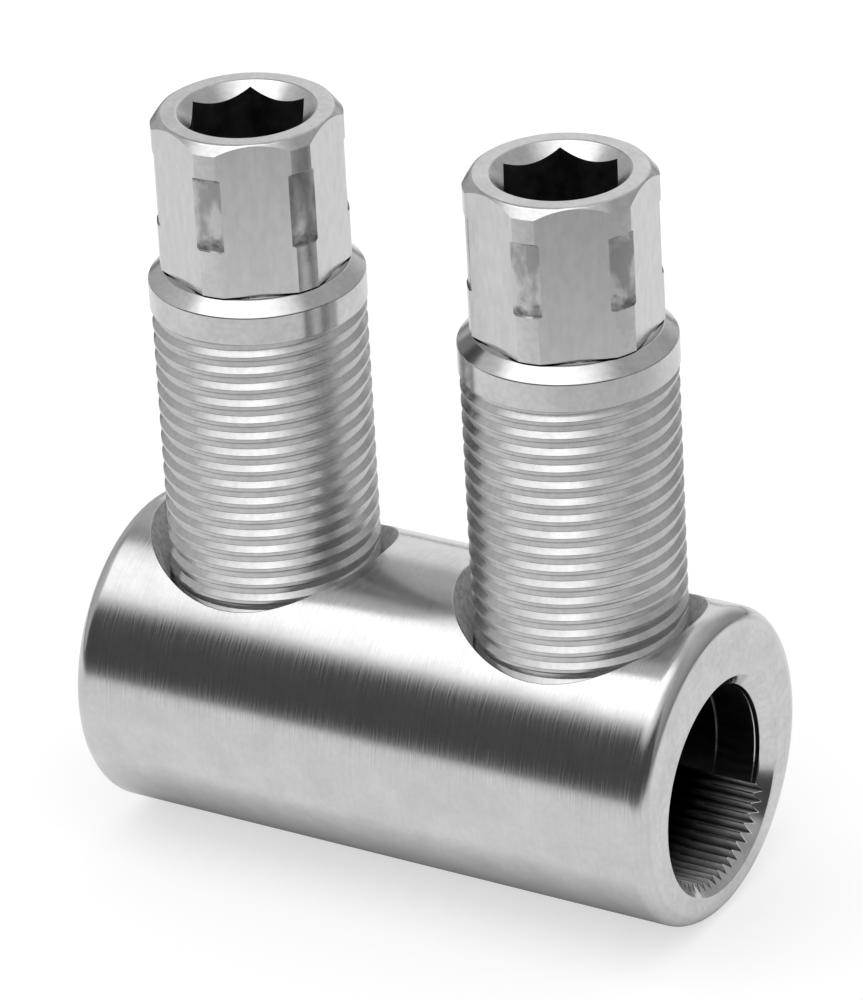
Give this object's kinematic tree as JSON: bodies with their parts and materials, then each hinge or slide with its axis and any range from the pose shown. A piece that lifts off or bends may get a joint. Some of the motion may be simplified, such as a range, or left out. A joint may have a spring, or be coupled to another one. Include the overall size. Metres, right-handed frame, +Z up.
{
  "type": "bolted line connector",
  "caption": "Round barrel connector that joins two stranded conductors end to end, each held in a serrated blind bore by a shear bolt.",
  "frame": {"origin": "underside of the barrel, midway along it, below the barrel's axis", "axes": "+X along the barrel and out of the right conductor bore, +Z up along the bolts towards their heads, +Y across the barrel to the back"},
  "size_m": [0.0364, 0.018, 0.0435],
  "materials": {
    "body_metal": "tinned, finely turned, bright satin",
    "bolt_metal": "tinned, machined, bright satin"
  },
  "bodies": {
    "connector": {"connector_body": "body_metal"},
    "left_bolt": {"shear_bolt_left": "bolt_metal"},
    "right_bolt": {"shear_bolt_right": "bolt_metal"}
  },
  "joints": [
    {"name": "left_bolt_travel", "type": "slide", "parent": "connector", "child": "left_bolt", "axis": [0, 0, -1], "range_m": [0, 0.006]},
    {"name": "right_bolt_travel", "type": "slide", "parent": "connector", "child": "right_bolt", "axis": [0, 0, -1], "range_m": [0, 0.006]}
  ]
}
